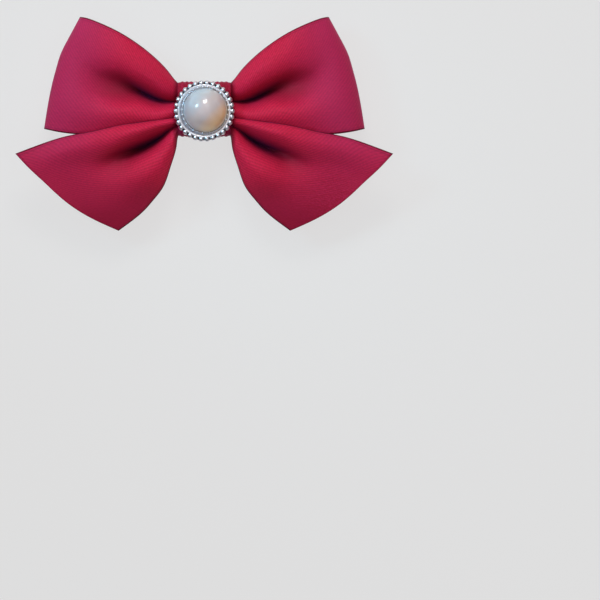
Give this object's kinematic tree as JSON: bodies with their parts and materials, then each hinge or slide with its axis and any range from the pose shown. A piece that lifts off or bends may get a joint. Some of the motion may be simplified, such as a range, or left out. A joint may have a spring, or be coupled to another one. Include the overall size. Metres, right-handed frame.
{
  "type": "shoe clip",
  "caption": "Satin ribbon bow with puffed loops and flared tails, a half pearl in a beaded metal setting on its gather, and a sheet-metal clip that slides on a shoe's edge.",
  "frame": {"origin": "on the surface that the clip lies on, below the middle of the pearl, on the flat underside of the clip's tongue", "axes": "+Z out of the bow's face, +Y towards the side of the two loops, X from loop to loop"},
  "size_m": [0.0806, 0.0456, 0.0178],
  "materials": {
    "satin": "woven satin, soft sheen",
    "setting_metal": "polished cast metal, silver-coloured plating",
    "pearl": "pearl lacquer",
    "clip_steel": "nickel-plated spring steel"
  },
  "bodies": {
    "root": {"loop_ribbon": "satin", "tail_ribbon": "satin", "centre_band": "satin", "pearl_setting": "setting_metal", "pearl": "pearl", "shoe_clip": "clip_steel"}
  },
  "joints": []
}
